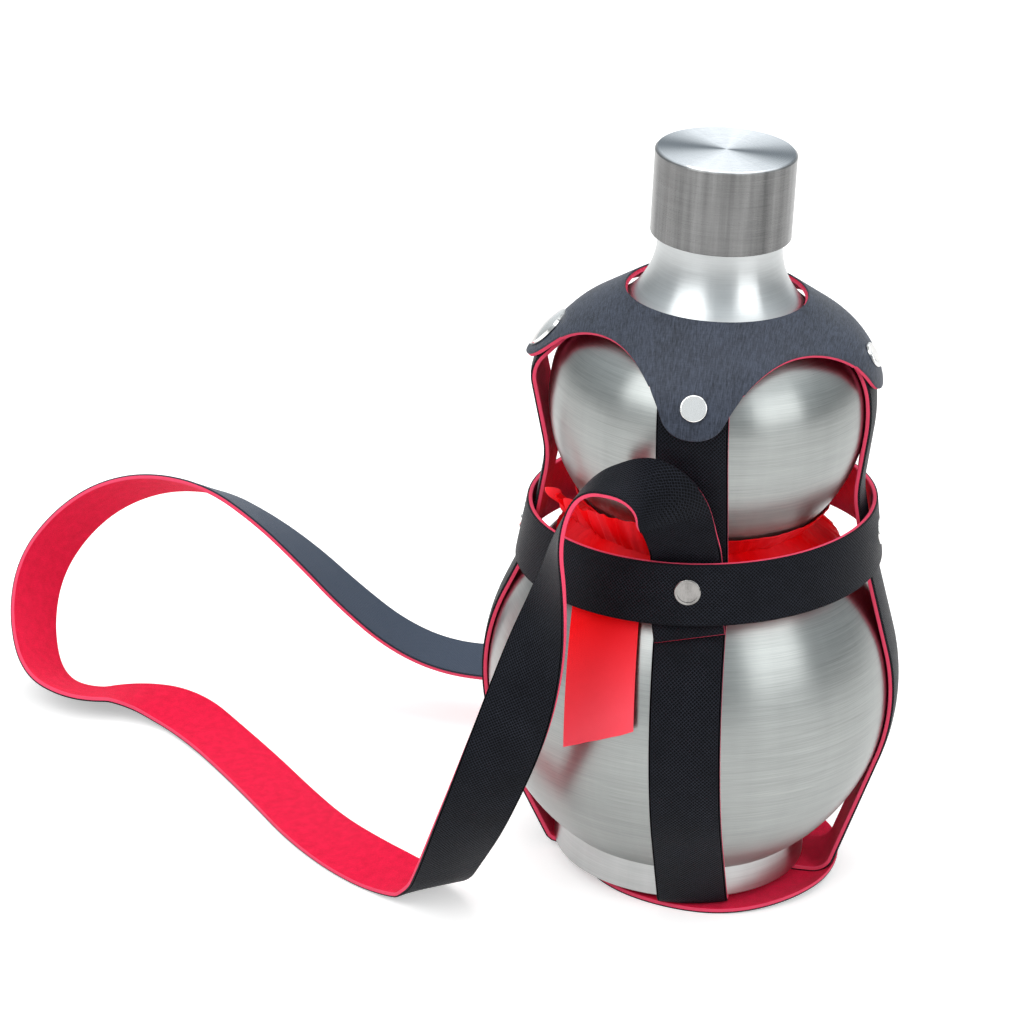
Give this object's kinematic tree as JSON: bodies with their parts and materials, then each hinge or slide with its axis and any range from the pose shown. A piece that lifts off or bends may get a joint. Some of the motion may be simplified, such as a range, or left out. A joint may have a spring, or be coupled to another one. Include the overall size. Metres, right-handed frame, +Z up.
{
  "type": "water bottle",
  "caption": "Gourd-shaped steel water bottle with a screw cap, held in a riveted leather harness with a snap arm, a belt, a waist ribbon and a long carry strap.",
  "frame": {"origin": "on the bottle's axis, on the underside of the round base pad", "axes": "+Z up along the bottle's axis, -Y towards the front strap and its belt stud, -X towards the snap that opens the harness"},
  "size_m": [0.2828, 0.175, 0.2197],
  "materials": {
    "bottle_steel": "fine brushed",
    "cap_steel": "satin turned",
    "liner_plastic": "matte",
    "gasket_rubber": "matte",
    "strap_leather": "cross-hatched grain",
    "yoke_leather": "fine grain",
    "lining_felt": "felt",
    "fitting_nickel": "polished",
    "ribbon_satin": "satin"
  },
  "bodies": {
    "root": {"lower_bulb": "bottle_steel", "upper_bulb": "bottle_steel", "foot_ring": "bottle_steel", "bottom_plate": "bottle_steel", "mouth_collar": "bottle_steel", "pad_face": "strap_leather", "pad_lining": "lining_felt", "long_strap_face": "strap_leather", "long_strap_lining": "lining_felt", "side_strap_face": "strap_leather", "side_strap_lining": "lining_felt", "belt_face": "strap_leather", "belt_lining": "lining_felt", "yoke_face": "yoke_leather", "yoke_lining": "lining_felt", "snap_stud": "fitting_nickel", "snap_post": "fitting_nickel", "yoke_rivets": "fitting_nickel", "belt_rivets": "fitting_nickel", "belt_stud": "fitting_nickel", "base_rivet": "fitting_nickel", "waist_ribbon": "ribbon_satin", "ribbon_knot": "ribbon_satin", "ribbon_front_tail": "ribbon_satin", "ribbon_rear_tail": "ribbon_satin", "carry_strap_face": "strap_leather", "carry_strap_lining": "lining_felt"},
    "cap_seal": {"cap_gasket": "gasket_rubber"},
    "cap": {"cap_shell": "cap_steel", "cap_liner": "liner_plastic"},
    "snap_flap": {"flap_face": "yoke_leather", "flap_lining": "lining_felt", "snap_cap": "fitting_nickel", "snap_socket": "fitting_nickel"}
  },
  "joints": [
    {"name": "cap_lift", "type": "slide", "parent": "root", "child": "cap_seal", "axis": [0, 0, 1], "range_m": [0, 0.008]},
    {"name": "cap_turn", "type": "hinge", "parent": "cap_seal", "child": "cap", "pos_m": [0, 0, 0.207], "axis": [0, 0, 1], "range_deg": [0, 720]},
    {"name": "flap_lift", "type": "hinge", "parent": "root", "child": "snap_flap", "pos_m": [-0.033, 0, 0.17368], "axis": [0, 1, 0], "range_deg": [0, 75]}
  ],
  "couplings": [
    {"joint": "cap_lift", "follows": "cap_turn", "m_per_rad": 0.00063662}
  ]
}
